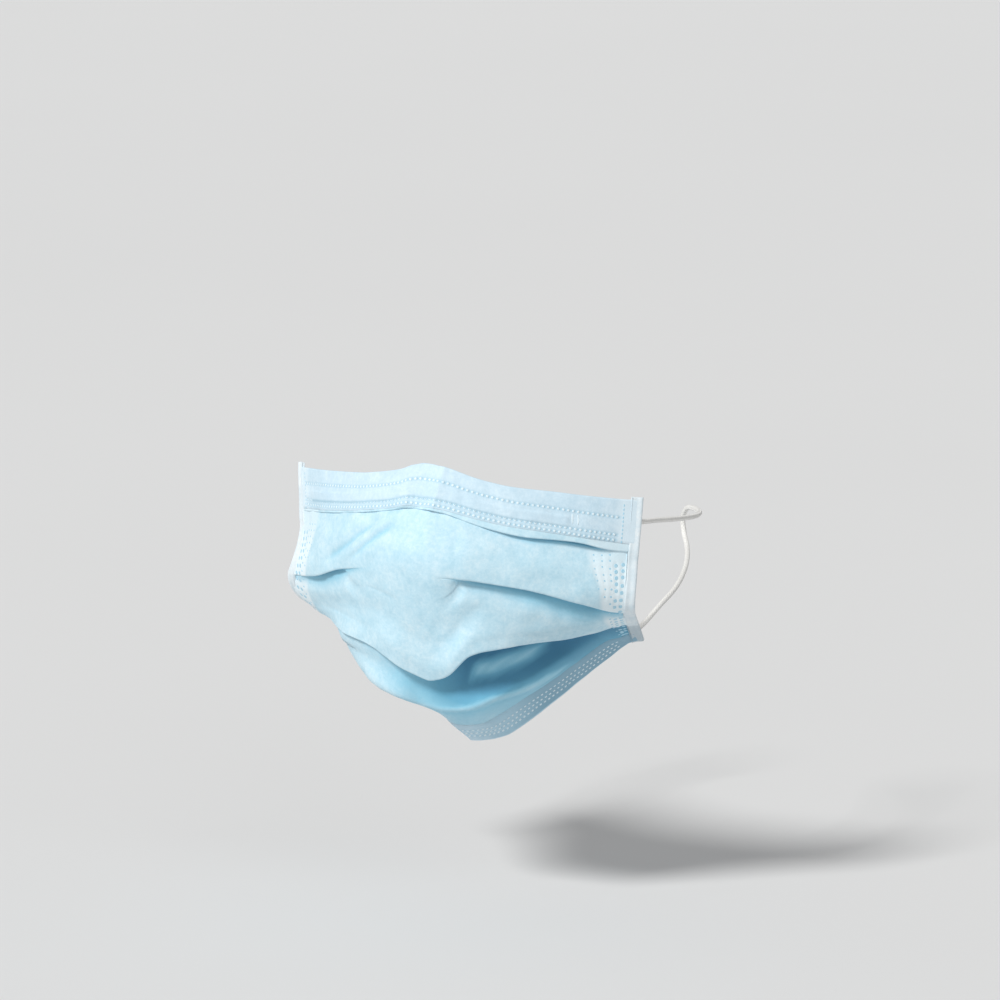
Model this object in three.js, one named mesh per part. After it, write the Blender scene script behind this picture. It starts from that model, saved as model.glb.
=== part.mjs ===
// Pleated surgical face mask with elastic ear loops, in the form it takes when worn.
// Millimetres. +Z is up, the wearer looks along -Y, and +X is the wearer's left.
// The origin is the bridge of the nose, where the middle of the top edge sits.
import * as THREE from 'three';

// ---------------------------------------------------------------- driving dimensions
const FLAT_WIDTH = 180;       // between the side edges, laid flat
const FOLDED_HEIGHT = 95;     // down a side edge, with the pleats closed
const PLEAT_DEPTH = 11;       // how far a closed pleat laps back under itself
const OUTER_WALL = 0.6;
const INNER_WALL = 0.4;
const PLY_GAP = 0.2;
const TURN_LENGTH = 2.6;      // cloth used by one U-turn of a closed pleat
const TURN_STEPS = 3;
const SHELF = 0.6;            // share of a half-open pleat's depth that stands out
const LAP_MARGIN = 2;         // flat cloth left before and after a closed lap

const TOP_HEM = 18;           // width of the band turned over the top edge
const BOTTOM_HEM = 12;
const HEM_WALL = 0.5;
const BACK_LEG = 4;           // how far a hem is turned over the inner face
const WIRE_TOP = 9.9;         // the nose wire lies this far below the top edge
const WIRE_WIDTH = 3.2;
const WIRE_THICK = 0.8;
const WIRE_LEFT_END = 26;     // from the wearer's left side edge to the wire
const WIRE_RIGHT_END = 14;

const BINDING_WIDTH = 5;
const BINDING_WALL = 0.5;
const BINDING_PROUD = 1.8;    // how far a binding runs past the hems
const BINDING_STEPS = 20;
const BINDING_GAP = 0.4;      // between a binding and the layers it holds
const GAP = 0.3;              // between other pieces that lie on each other

const LOOP_DIAMETER = 2.2;    // elastic, as stretched
const LOOP_SIDES = 8;
const LOOP_STEPS = 52;

const COLUMNS = 8;            // in each half, between the middle and a side binding

// Side edge of the wearer's left, from the top corner over the cheek crease to the foot.
const SIDE = {
  top: new THREE.Vector3(76.4, 39.9, -16.5),
  crease: new THREE.Vector3(76.4, 31.3, -60.0),
  foot: new THREE.Vector3(61.4, 73.8, -82.4),
  rounding: 9,
  acrossTop: new THREE.Vector3(0.69, 0.70, -0.17),
  acrossFoot: new THREE.Vector3(0.87, 0.43, 0.23),
};

// The middle of the cloth from the bridge of the nose to the bottom edge. down is the share of
// the way down and at the place in x, y and z. Each cross row leaves the middle towards a point
// that lies across, forward and up from it, and meets the side binding straight on over the
// share side, all in shares of its chord.
const MIDDLE = [
  { place: 'bridge',     down: 0,    at: [0, 0, 0],             leaves: [0.10, 0.06, 0],    side: 0.45 },
  { place: 'nose_slope', down: 0.13, at: [0, -7.6, -15.8],      leaves: [0.13, 0.05, 0],    side: 0.42 },
  { place: 'nose_tip',   down: 0.27, at: [0, -14.9, -34.6],     leaves: [0.20, 0.02, 0],    side: 0.34 },
  { place: 'lips',       down: 0.41, at: [0, -12.4, -53.1],     leaves: [0.26, 0, 0],       side: 0.26 },
  { place: 'chin',       down: 0.69, at: [0, 1.0, -88.2],       leaves: [0.36, 0.16, 0.05], side: 0.26 },
  { place: 'under_chin', down: 0.84, at: [0, 8.5, -104.5],      leaves: [0.44, 0.36, 0.05], side: 0.15 },
  { place: 'bottom',     down: 1,    at: [12.7, 28.0, -120.4],  leaves: [0.15, 0.02, 0],    side: 0.10 },
];

// Three pleats: the height of the fold edge down a side, how far it opens, from 0, closed, to
// 1, flat, and where it does, as distances from the middle, the wearer's right being negative.
const PLEATS = [
  { edge: 23, opens: 0,    closedRight: -84, openRight: -40, openLeft: 40, closedLeft: 84 },
  { edge: 48, opens: 1,    closedRight: -82, openRight: -34, openLeft: 2,  closedLeft: 54 },
  { edge: 73, opens: 0.85, closedRight: -84, openRight: -20, openLeft: 20, closedLeft: 84 },
];

// ---------------------------------------------------------------- the smooth body
const CLOTH = FOLDED_HEIGHT + 2 * PLEAT_DEPTH * PLEATS.length;
const smooth = (x) => THREE.MathUtils.smoothstep(x, 0, 1);

function roundedEdge({ top, crease, foot, rounding }) {
  const before = crease.clone().add(top.clone().sub(crease).setLength(rounding));
  const after = crease.clone().add(foot.clone().sub(crease).setLength(rounding));
  const path = new THREE.CurvePath();
  path.add(new THREE.LineCurve3(top, before));
  path.add(new THREE.QuadraticBezierCurve3(before, crease, after));
  path.add(new THREE.LineCurve3(after, foot));
  return path;
}

const sideEdge = roundedEdge(SIDE);
const middle = new THREE.CatmullRomCurve3(
  MIDDLE.map(({ at }) => new THREE.Vector3(...at)), false, 'centripetal');

// How a cross row leaves the middle and meets the side, at the share v of the way down.
function fullness(v) {
  const below = MIDDLE.find(({ down }, i) => i > 0 && down >= v) ?? MIDDLE.at(-1);
  const above = MIDDLE[MIDDLE.indexOf(below) - 1];
  const part = smooth((v - above.down) / (below.down - above.down));
  const [across, forward, up] = above.leaves.map((from, i) =>
    THREE.MathUtils.lerp(from, below.leaves[i], part));
  return { across, forward, up, side: THREE.MathUtils.lerp(above.side, below.side, part) };
}

// Direction across the cloth, square to the side edge, at the share v down the edge.
function acrossSide(v) {
  const down = sideEdge.getTangentAt(v);
  const across = SIDE.acrossTop.clone().lerp(SIDE.acrossFoot, smooth((v - 0.38) / 0.24));
  return across.addScaledVector(down, -across.dot(down)).normalize();
}

const BINDING_SHARE = 1 - 2 * BINDING_WIDTH / FLAT_WIDTH;

// Point of the smooth body: s runs from -1 to 1 across, v from 0 to 1 down.
function body(s, v) {
  const vIn = THREE.MathUtils.clamp(v, 0, 1);
  const half = Math.abs(s);
  const across = acrossSide(vIn);
  const edge = sideEdge.getPointAt(vIn);
  const toEdge = (FLAT_WIDTH / 2) * (half - 1);
  let point;
  if (half >= BINDING_SHARE) {
    point = edge.addScaledVector(across, toEdge);
    point.x *= Math.sign(s);
  } else {
    const start = middle.getPointAt(vIn);
    const end = edge.addScaledVector(across, -BINDING_WIDTH);
    if (s < 0) {
      end.x *= -1;
      across.x *= -1;
    }
    const chord = start.distanceTo(end);
    const full = fullness(vIn);
    const first = new THREE.Vector3(Math.sign(s) * full.across, -full.forward, full.up);
    first.multiplyScalar(chord).add(start);
    const second = end.clone().addScaledVector(across, -chord * full.side);
    point = new THREE.CubicBezierCurve3(start, first, second, end).getPoint(half / BINDING_SHARE);
  }
  return point;
}

// Down, across and outward directions of the smooth body.
function frame(s, v) {
  const step = 0.004;
  const down = body(s, Math.min(v + step, 1)).sub(body(s, Math.max(v - step, 0))).normalize();
  const right = body(Math.min(s + step, 1), v).sub(body(Math.max(s - step, -1), v)).normalize();
  const out = new THREE.Vector3().crossVectors(down, right).normalize();
  return { down, right, out };
}

// ---------------------------------------------------------------- pleats
// Rows of cloth, by their distance down the unfolded sheet.
function clothRows() {
  const rows = [0, 4.5, 8.9, WIRE_TOP, WIRE_TOP + WIRE_WIDTH, 14.1, TOP_HEM];
  PLEATS.forEach((pleat, k) => {
    const edge = pleat.edge + 2 * PLEAT_DEPTH * k;
    const hidden = edge + PLEAT_DEPTH;
    for (const turn of [edge, hidden]) {
      for (let i = 0; i <= TURN_STEPS; i++) {
        rows.push(turn + TURN_LENGTH * (i / TURN_STEPS - 0.5));
      }
    }
    rows.push((edge + hidden) / 2);
    const last = k === PLEATS.length - 1;
    const below = last ? CLOTH - BOTTOM_HEM : PLEATS[k + 1].edge + 2 * PLEAT_DEPTH * (k + 1);
    const steps = last ? 3 : 6;
    for (let i = 1; i < steps; i++) {
      rows.push(THREE.MathUtils.lerp(hidden, below, i / steps));
    }
  });
  rows.push(CLOTH - BOTTOM_HEM, CLOTH - BOTTOM_HEM / 2, CLOTH);
  return rows.sort((a, b) => a - b);
}

const ROWS = clothRows();

// Fold angle of pleat k at s: PI where it is closed, 0 where it lies open.
function foldAngle(k, s) {
  const { opens, closedRight, openRight, openLeft, closedLeft } = PLEATS[k];
  const x = s * FLAT_WIDTH / 2;
  const fromRight = smooth((x - closedRight) / (openRight - closedRight));
  const fromLeft = smooth((closedLeft - x) / (closedLeft - openLeft));
  return Math.acos(2 * opens * fromRight * fromLeft - 1);
}

// The section of the cloth at s: how far down the body each row is, and how far it stands out.
function section(s) {
  const folds = PLEATS.map((pleat, k) => ({
    angle: foldAngle(k, s),
    edge: pleat.edge + 2 * PLEAT_DEPTH * k,
    hidden: pleat.edge + 2 * PLEAT_DEPTH * k + PLEAT_DEPTH,
  }));
  const path = [{ along: 0, out: 0 }];
  const sunk = folds.map(() => 0);
  for (let i = 1; i < ROWS.length; i++) {
    const step = ROWS[i] - ROWS[i - 1];
    const at = (ROWS[i] + ROWS[i - 1]) / 2;
    const k = folds.findIndex(({ edge, hidden }) =>
      at > edge - TURN_LENGTH / 2 && at < hidden + TURN_LENGTH / 2);
    let heading = 0;
    let share = 1;
    if (k >= 0) {
      const { angle, edge, hidden } = folds[k];
      const into = THREE.MathUtils.clamp((at - edge) / TURN_LENGTH + 0.5, 0, 1);
      const back = THREE.MathUtils.clamp((at - hidden) / TURN_LENGTH + 0.5, 0, 1);
      heading = angle * (into - back);
      share = into === 1 && back === 0 ? SHELF : 1;
      sunk[k] += step * Math.sin(heading) * share;
    }
    const last = path[path.length - 1];
    path.push({
      along: last.along + step * Math.cos(heading),
      out: last.out - step * Math.sin(heading) * share,
    });
  }
  // Between pleats the cloth comes back out, over the stretch that no lap covers.
  const laps = folds.map(({ angle }) => PLEAT_DEPTH * Math.max(0, -Math.cos(angle)) + LAP_MARGIN);
  const stretches = [...folds, null].map((fold, k) => ({
    from: k ? folds[k - 1].hidden + laps[k - 1] : 0,
    to: fold ? fold.edge - laps[k] : CLOTH,
    rise: ((k ? sunk[k - 1] : 0) + (fold ? sunk[k] : 0)) / 2,
  }));
  path.forEach((point, i) => {
    for (const { from, to, rise } of stretches) {
      point.out += rise * smooth((ROWS[i] - from) / (to - from));
    }
  });
  return path;
}

// The columns of cloth, with one at each end of the nose wire and of each binding.
const wireEnds = [1 - 2 * WIRE_LEFT_END / FLAT_WIDTH, 1 - 2 * WIRE_RIGHT_END / FLAT_WIDTH];

function columnShares(wireEnd) {
  const shares = [];
  for (let i = 0; i <= COLUMNS; i++) shares.push(BINDING_SHARE * i / COLUMNS);
  const nearest = shares.reduce((best, share, i) =>
    Math.abs(share - wireEnd) < Math.abs(shares[best] - wireEnd) ? i : best, 0);
  shares[nearest] = wireEnd;
  return [...shares, 1];
}

// Each row of a column: its point, its outward direction there, lengthened at corners so that
// walls keep their thickness, and the way down.
function column(s) {
  const path = section(s);
  const total = path[path.length - 1].along;
  const heading = (i) => {
    const from = path[Math.max(i, 0)];
    const to = path[Math.min(i + 1, path.length - 1)];
    return Math.atan2(to.out - from.out, to.along - from.along);
  };
  const rows = path.map(({ along, out }, i) => {
    const before = heading(i === 0 ? 0 : i - 1);
    const after = heading(i === path.length - 1 ? i - 1 : i);
    const turn = Math.atan2(Math.sin(after - before), Math.cos(after - before));
    const angle = before + turn / 2;
    const v = along / total;
    const { down, out: away } = frame(s, v);
    const normal = away.clone().multiplyScalar(Math.cos(angle)).addScaledVector(down, -Math.sin(angle));
    return {
      point: body(s, v).addScaledVector(away, out),
      normal: normal.divideScalar(Math.cos(turn / 2)),
      down,
    };
  });
  return { s, rows };
}

const leftShares = columnShares(wireEnds[0]);
const rightShares = columnShares(wireEnds[1]).slice(1).map((share) => -share).reverse();
const COLUMNS_OF_CLOTH = [...rightShares, ...leftShares].map(column);

// ---------------------------------------------------------------- solids
// A solid between two faces: each station holds one line of points on each face. Squares are
// split along their shorter diagonal, so that faces that lie side by side match.
function slab(name, material, stations) {
  const lines = stations[0].a.length;
  const points = stations.flatMap(({ a, b }) => [...a, ...b]);
  const at = (station, face, i) => station * 2 * lines + face * lines + i;
  const index = [];
  const quad = (p, q, r, t) => {
    const straight = points[p].distanceTo(points[r]) <= points[q].distanceTo(points[t]);
    index.push(...(straight ? [p, q, r, p, r, t] : [p, q, t, q, r, t]));
  };
  for (let k = 0; k + 1 < stations.length; k++) {
    for (let i = 0; i + 1 < lines; i++) {
      quad(at(k, 0, i), at(k + 1, 0, i), at(k + 1, 0, i + 1), at(k, 0, i + 1));
      quad(at(k, 1, i), at(k, 1, i + 1), at(k + 1, 1, i + 1), at(k + 1, 1, i));
    }
    quad(at(k, 0, 0), at(k, 1, 0), at(k + 1, 1, 0), at(k + 1, 0, 0));
    quad(at(k, 0, lines - 1), at(k + 1, 0, lines - 1), at(k + 1, 1, lines - 1), at(k, 1, lines - 1));
  }
  const end = stations.length - 1;
  for (let i = 0; i + 1 < lines; i++) {
    quad(at(0, 0, i), at(0, 0, i + 1), at(0, 1, i + 1), at(0, 1, i));
    quad(at(end, 0, i), at(end, 1, i), at(end, 1, i + 1), at(end, 0, i + 1));
  }
  let volume = 0;
  for (let i = 0; i < index.length; i += 3) {
    const [p, q, r] = index.slice(i, i + 3).map((n) => points[n]);
    volume += p.dot(new THREE.Vector3().crossVectors(q, r));
  }
  if (volume < 0) index.reverse();
  const geometry = new THREE.BufferGeometry().setFromPoints(points);
  geometry.setIndex(index);
  geometry.computeVertexNormals();
  const mesh = new THREE.Mesh(geometry, material);
  mesh.name = name;
  return mesh;
}

const offsetPoint = ({ point, normal, down }, offset, beyond = 0) =>
  point.clone().addScaledVector(normal, offset).addScaledVector(down, beyond);

const cloth = (colour) => new THREE.MeshStandardMaterial({ color: colour, roughness: 0.9, metalness: 0 });
const blueCloth = cloth('#b9dfee');
const whiteCloth = cloth('#f2f5f6');
const hemCloth = cloth('#d3e4ee');
const elastic = cloth('#f4f4f2');
const wireMaterial = new THREE.MeshStandardMaterial({ color: '#e6e9ea', roughness: 0.5, metalness: 0 });

const OUTER_FACE = PLY_GAP / 2 + OUTER_WALL;
const INNER_FACE = -PLY_GAP / 2 - INNER_WALL;

function ply(name, material, faceA, faceB) {
  return slab(name, material, COLUMNS_OF_CLOTH.map(({ rows }) => ({
    a: rows.map((row) => offsetPoint(row, faceA)),
    b: rows.map((row) => offsetPoint(row, faceB)),
  })));
}

const overWire = (s) => s <= wireEnds[0] + 1e-9 && s >= -wireEnds[1] - 1e-9;
const onWire = (t) => t > WIRE_TOP - 0.01 && t < WIRE_TOP + WIRE_WIDTH + 0.01;

// A hem: up or down the front, over the edge and a short way down the inner face.
// edgeRow is the row it is turned over, and way is -1 at the top edge and 1 at the bottom.
function hem(name, frontRows, edgeRow, backRow, way) {
  const front = OUTER_FACE + GAP;
  const back = INNER_FACE - GAP;
  return slab(name, hemCloth, COLUMNS_OF_CLOTH.map(({ s, rows }) => {
    const face = (wall) => {
      const line = frontRows.map((i) => {
        const ridge = onWire(ROWS[i]) && overWire(s) ? WIRE_THICK + GAP : 0;
        return offsetPoint(rows[i], front + wall + ridge);
      });
      line.push(offsetPoint(rows[edgeRow], front + wall, way * (GAP + wall)));
      line.push(offsetPoint(rows[edgeRow], back - wall, way * (GAP + wall)));
      line.push(offsetPoint(rows[edgeRow], back - wall));
      line.push(offsetPoint(rows[backRow], back - wall));
      return line;
    };
    return { a: face(HEM_WALL), b: face(0) };
  }));
}

function noseWire() {
  const inside = OUTER_FACE + GAP / 2;
  const edges = [ROWS.indexOf(WIRE_TOP), ROWS.indexOf(WIRE_TOP + WIRE_WIDTH)];
  const stations = COLUMNS_OF_CLOTH.filter(({ s }) => overWire(s)).map(({ rows }) => ({
    a: edges.map((i) => offsetPoint(rows[i], inside + WIRE_THICK)),
    b: edges.map((i) => offsetPoint(rows[i], inside)),
  }));
  return slab('nose_wire', wireMaterial, stations);
}

// How far the layers at a side edge stand out and in, within reach of the height h.
function stack(h, reach = 4) {
  const near = section(1).filter(({ along }, i, path) => {
    const next = path[Math.min(i + 1, path.length - 1)].along;
    const last = path[Math.max(i - 1, 0)].along;
    return Math.min(along, next, last) < h + reach && Math.max(along, next, last) > h - reach;
  });
  const outs = near.map(({ out }) => out);
  return { high: Math.max(...outs), low: Math.min(...outs) };
}

// A binding: over the front, round the side edge and back over the inner face.
function binding(name, side) {
  const heights = [-BINDING_PROUD];
  for (let i = 0; i <= BINDING_STEPS; i++) heights.push(FOLDED_HEIGHT * i / BINDING_STEPS);
  heights.push(FOLDED_HEIGHT + BINDING_PROUD);
  const stations = heights.map((h) => {
    const v = THREE.MathUtils.clamp(h / FOLDED_HEIGHT, 0, 1);
    const beyond = h - v * FOLDED_HEIGHT;
    const { high, low } = stack(h);
    const overHem = h < TOP_HEM + 3 || h > FOLDED_HEIGHT - BOTTOM_HEM - 3;
    const overBack = h < 2 * BACK_LEG || h > FOLDED_HEIGHT - 2 * BACK_LEG - 3;
    const outer = high + OUTER_FACE + BINDING_GAP + (overHem ? HEM_WALL + GAP : 0);
    const inner = low + INNER_FACE - BINDING_GAP - (overBack ? HEM_WALL + GAP : 0);
    const at = (share, past, offset) => {
      const { down, right, out } = frame(side * share, v);
      return body(side * share, v).addScaledVector(right, side * past)
        .addScaledVector(out, offset).addScaledVector(down, beyond);
    };
    const face = (wall) => [
      at(BINDING_SHARE, 0, outer + wall),
      at(1, 0, outer + wall),
      at(1, GAP + wall, outer + wall),
      at(1, GAP + wall, inner - wall),
      at(1, 0, inner - wall),
      at(BINDING_SHARE, 0, inner - wall),
    ];
    return { a: face(BINDING_WALL), b: face(0) };
  });
  return slab(name, whiteCloth, stations);
}

// Route of the wearer's left ear loop: from behind the top corner, back round the head,
// and forward again to behind the bottom corner.
const LOOP_ROUTE = [
  [66.5, 36.2, -24.4], [70.5, 40.0, -25.2], [73.2, 46.0, -26.2], [74.0, 60.0, -28.6], [73.2, 85.0, -33.2],
  [69.0, 110.0, -37.8], [60.6, 132.6, -41.7], [51.0, 148.0, -44.2], [44.0, 156.5, -47.0],
  [41.0, 159.5, -52.0], [42.0, 158.5, -57.5], [46.5, 151.5, -61.5], [54.0, 134.0, -65.0],
  [59.5, 112.0, -69.0], [60.5, 93.0, -73.0], [59.0, 78.0, -76.0], [57.8, 70.0, -76.6],
  [55.5, 64.0, -76.0],
];

function earLoop(name, side) {
  const route = new THREE.CatmullRomCurve3(
    LOOP_ROUTE.map(([x, y, z]) => new THREE.Vector3(side * x, y, z)), false, 'centripetal');
  const round = new THREE.Shape();
  for (let i = 0; i < LOOP_SIDES; i++) {
    const turn = 2 * Math.PI * i / LOOP_SIDES;
    const [x, y] = [LOOP_DIAMETER / 2 * Math.cos(turn), LOOP_DIAMETER / 2 * Math.sin(turn)];
    if (i) round.lineTo(x, y);
    else round.moveTo(x, y);
  }
  const mesh = new THREE.Mesh(
    new THREE.ExtrudeGeometry(round, { steps: LOOP_STEPS, extrudePath: route }), elastic);
  mesh.name = name;
  return mesh;
}

// ---------------------------------------------------------------- the mask
const rowIndex = (test) => ROWS.map((t, i) => i).filter((i) => test(ROWS[i]));
const topRows = rowIndex((t) => t <= TOP_HEM).reverse();
const bottomRows = rowIndex((t) => t >= CLOTH - BOTTOM_HEM);

const group = new THREE.Group();
group.add(
  ply('outer_ply', blueCloth, OUTER_FACE, PLY_GAP / 2),
  ply('inner_ply', whiteCloth, -PLY_GAP / 2, INNER_FACE),
  hem('top_hem', topRows, 0, 1, -1),
  hem('bottom_hem', bottomRows, ROWS.length - 1, ROWS.length - 2, 1),
  noseWire(),
  binding('side_binding_left', 1),
  binding('side_binding_right', -1),
  earLoop('ear_loop_left', 1),
  earLoop('ear_loop_right', -1),
);

export default group;
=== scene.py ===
import math

import bpy
import numpy as np
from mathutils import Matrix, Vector


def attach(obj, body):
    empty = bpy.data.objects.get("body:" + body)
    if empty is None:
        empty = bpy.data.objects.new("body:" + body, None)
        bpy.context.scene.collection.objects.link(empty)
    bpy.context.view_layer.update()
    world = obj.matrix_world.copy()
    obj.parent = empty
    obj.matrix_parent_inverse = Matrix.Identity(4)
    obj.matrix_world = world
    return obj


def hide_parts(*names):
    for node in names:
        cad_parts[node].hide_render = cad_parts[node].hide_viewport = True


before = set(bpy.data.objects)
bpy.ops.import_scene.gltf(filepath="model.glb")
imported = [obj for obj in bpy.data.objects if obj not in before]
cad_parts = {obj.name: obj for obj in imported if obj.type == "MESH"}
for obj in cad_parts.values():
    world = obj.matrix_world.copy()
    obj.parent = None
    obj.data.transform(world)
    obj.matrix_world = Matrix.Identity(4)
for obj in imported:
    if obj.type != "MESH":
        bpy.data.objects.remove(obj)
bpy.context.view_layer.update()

# Pleated surgical face mask in its worn form: two visible plies of spunbond cloth, turned
# hems, a nose wire, bound sides and two round elastics. Lengths are worked out in
# millimetres, as the cloth is cut, and turned to metres when a mesh is made.
MM = 0.001

# ---------------------------------------------------------------- camera and studio
VIEW_AZIMUTH = math.radians(25)
VIEW_HEIGHT = math.radians(13)
VIEW_DISTANCE = 6.0
VIEW_TARGET = Vector((0.0211, 0.0230, -0.0176))
SENSOR_WIDTH = 36
LENS = 531.7
FLOOR_LEVEL = -0.190
FLOOR_SIZE = 30
ROOM_LIGHT = 0.36


def add_camera():
    """A long lens, to the wearer's left of the mask and a little above it."""
    back = Vector((math.sin(VIEW_AZIMUTH) * math.cos(VIEW_HEIGHT),
                   -math.cos(VIEW_AZIMUTH) * math.cos(VIEW_HEIGHT),
                   math.sin(VIEW_HEIGHT)))
    data = bpy.data.cameras.new("camera")
    data.sensor_width = SENSOR_WIDTH
    data.lens = LENS
    data.clip_end = 100
    camera = bpy.data.objects.new("camera", data)
    camera.location = VIEW_TARGET + back * VIEW_DISTANCE
    camera.rotation_euler = back.to_track_quat("Z", "Y").to_euler()
    bpy.context.collection.objects.link(camera)
    bpy.context.scene.camera = camera


def add_sun(name, comes_from, spread, strength, colour):
    """A soft lamp far away: its direction from the mask, and its spread in degrees."""
    data = bpy.data.lights.new(name, "SUN")
    data.angle = math.radians(spread)
    data.energy = strength
    data.color = colour
    light = bpy.data.objects.new(name, data)
    light.rotation_euler = Vector(comes_from).to_track_quat("Z", "Y").to_euler()
    bpy.context.collection.objects.link(light)


def linear(code):
    """sRGB hex colour as linear red, green, blue and alpha."""
    parts = [int(code[i:i + 2], 16) / 255 for i in (1, 3, 5)]
    return tuple(c / 12.92 if c <= 0.04045 else ((c + 0.055) / 1.055) ** 2.4
                 for c in parts) + (1.0,)


add_camera()
add_sun("key", comes_from=(-0.25, -0.68, 0.69), spread=12, strength=2.6,
        colour=(1.0, 0.99, 0.97))
add_sun("fill", comes_from=(0.60, -0.50, 0.62), spread=40, strength=0.3,
        colour=(1.0, 1.0, 1.0))

# ---------------------------------------------------------------- nodes and materials


def node(tree, kind, settings=None, links=None, stops=(), **attributes):
    """Adds a node, sets its attributes, its sockets' values and a ramp's places and colours,
    and links its inputs."""
    made = tree.nodes.new(kind)
    for name, value in attributes.items():
        setattr(made, name, value)
    for socket, value in (settings or {}).items():
        made.inputs[socket].default_value = value
    for socket, source in (links or {}).items():
        tree.links.new(source, made.inputs[socket])
    for k, (place, code) in enumerate(stops):
        stop = made.color_ramp.elements[k] if k < 2 else made.color_ramp.elements.new(place)
        stop.position, stop.color = place, linear(code)
    return made


def blank_material(name):
    material = bpy.data.materials.new(name)
    material.use_nodes = True
    material.node_tree.nodes.clear()
    return material, material.node_tree


def finish_material(tree, finish, colour, height=None, strength=0.0, relief_depth=0.0):
    """Joins a colour and a bump to the shader, with its finish, and the shader to the
    surface."""
    links = {"Base Color": colour}
    if height is not None:
        bump = node(tree, "ShaderNodeBump", {"Strength": strength, "Distance": relief_depth},
                    {"Height": height})
        links["Normal"] = bump.outputs["Normal"]
    shader = node(tree, "ShaderNodeBsdfPrincipled", finish, links)
    node(tree, "ShaderNodeOutputMaterial", links={"Surface": shader.outputs["BSDF"]})


def spunbond(name, cloth, thin, thick, fluffed, covered):
    """Spunbond polypropylene: continuous filaments laid at random and bonded by a fine grid
    of heated points. It looks matt and clouded, thicker and thinner by turns, with a faint
    regular dimple and single filaments that catch the light."""
    material, tree = blank_material(name)
    place = node(tree, "ShaderNodeTexCoord").outputs["Object"]
    flat = node(tree, "ShaderNodeUVMap", uv_map="cloth").outputs["UV"]
    # clouds of denser cloth, about 9 mm and 2.5 mm across
    clouds = node(tree, "ShaderNodeTexNoise", {"Scale": 110.0, "Detail": 3.0, "Roughness": 0.6},
                  {"Vector": place})
    flecks = node(tree, "ShaderNodeTexNoise", {"Scale": 600.0, "Detail": 3.0, "Roughness": 0.7},
                  {"Vector": place})
    both = node(tree, "ShaderNodeMath", {}, {0: clouds.outputs["Fac"], 1: flecks.outputs["Fac"]},
                operation="ADD")
    half = node(tree, "ShaderNodeMath", {1: 0.5}, {0: both.outputs[0]}, operation="MULTIPLY")
    ramp = node(tree, "ShaderNodeValToRGB", {}, {"Fac": half.outputs[0]},
                ((0.36, thin), (0.5, cloth), (0.64, thick)))
    # between close welds the cloth is fluffed up and scatters more light, so it looks whiter
    puffed = node(tree, "ShaderNodeAttribute", attribute_name="puffed")
    colour = node(tree, "ShaderNodeMix", {"B": linear(fluffed)},
                  {"Factor": puffed.outputs["Fac"], "A": ramp.outputs["Color"]}, data_type="RGBA")
    # painted shade, mixed toward the covered colours below fold lips and in weld grooves
    tucked = node(tree, "ShaderNodeAttribute", attribute_name="tucked")
    painted_shade_colour = node(tree, "ShaderNodeValToRGB", {}, {"Fac": tucked.outputs["Fac"]},
                  ((0.45, covered[0]), (1.0, covered[1])))
    amount = node(tree, "ShaderNodeMath", {1: 1.6}, {0: tucked.outputs["Fac"]},
                  operation="MULTIPLY", use_clamp=True)
    colour = node(tree, "ShaderNodeMix", {},
                  {"Factor": amount.outputs[0], "A": colour.outputs["Result"],
                   "B": painted_shade_colour.outputs["Color"]}, data_type="RGBA")
    # filaments, drawn 0.4 mm wide so that they show, in two crossing directions
    fibres = []
    for turn in (0.5, 2.1):
        lay = node(tree, "ShaderNodeMapping", {"Rotation": (0, 0, turn), "Scale": (900, 130, 1)},
                   {"Vector": flat})
        fibres.append(node(tree, "ShaderNodeTexNoise", {"Scale": 1.0, "Detail": 2.0,
                                                        "Distortion": 0.6},
                           {"Vector": lay.outputs["Vector"]}))
    tangle = node(tree, "ShaderNodeMath", {}, {0: fibres[0].outputs["Fac"],
                                               1: fibres[1].outputs["Fac"]},
                  operation="MAXIMUM")
    # bond points on a 1.1 mm grid turned 45 degrees
    grid = node(tree, "ShaderNodeMapping", {"Rotation": (0, 0, 0.785), "Scale": (909, 909, 1)},
                {"Vector": flat})
    bonds = node(tree, "ShaderNodeTexVoronoi", {"Scale": 1.0, "Randomness": 0.12},
                 {"Vector": grid.outputs["Vector"]}, feature="F1", voronoi_dimensions="2D")
    height = node(tree, "ShaderNodeMath", {1: 0.8}, {0: tangle.outputs[0]}, operation="MULTIPLY")
    height = node(tree, "ShaderNodeMath", {1: 0.35},
                  {0: bonds.outputs["Distance"], 2: height.outputs[0]}, operation="MULTIPLY_ADD")
    finish_material(tree, {"Roughness": 0.75, "IOR": 1.49, "Sheen Weight": 0.1,
                           "Sheen Roughness": 0.5, "Specular IOR Level": 0.2},
                    colour.outputs["Result"], height.outputs[0], 0.35, 0.25 * MM)
    return material


def fused_spots(name, cloth, dark):
    """Polypropylene cloth fused by an ultrasonic horn: where the plies melt together the
    fibres turn to a thin film, so a weld is smoother and shinier than the cloth round it."""
    material, tree = blank_material(name)
    place = node(tree, "ShaderNodeTexCoord").outputs["Object"]
    grain = node(tree, "ShaderNodeTexNoise", {"Scale": 900.0, "Detail": 2.0}, {"Vector": place})
    ramp = node(tree, "ShaderNodeValToRGB", {}, {"Fac": grain.outputs["Fac"]},
                ((0.3, dark), (0.7, cloth)))
    finish_material(tree, {"Roughness": 0.45, "IOR": 1.49}, ramp.outputs["Color"],
                    grain.outputs["Fac"], 0.2, 0.1 * MM)
    return material


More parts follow.
